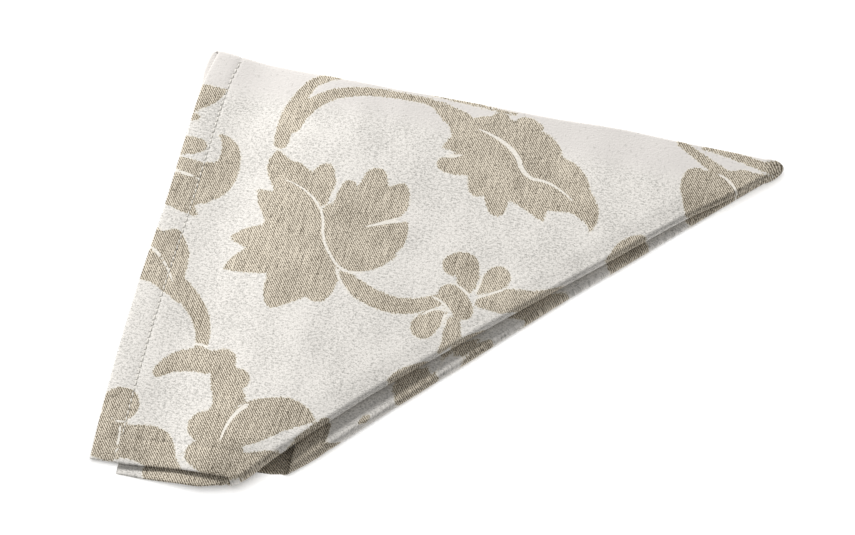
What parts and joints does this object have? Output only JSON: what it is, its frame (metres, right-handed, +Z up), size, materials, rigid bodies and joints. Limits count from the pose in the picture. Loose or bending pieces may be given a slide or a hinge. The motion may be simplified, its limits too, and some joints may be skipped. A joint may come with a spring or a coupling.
{
  "type": "folded cloth napkin",
  "caption": "Hemmed jacquard cloth napkin, folded in half and then round one point into a flat wedge with a pointed end; lies on a table.",
  "frame": {"origin": "centre of the bounding box in plan, on the table that the folded napkin lies on", "axes": "+X along the top fold towards the pointed end, +Y from the low hem towards the top fold, +Z up from the table"},
  "size_m": [0.2928, 0.2326, 0.0131],
  "materials": {
    "linen": "woven off-white and beige jacquard, matte"
  },
  "bodies": {
    "root": {"napkin": "linen"}
  },
  "joints": []
}
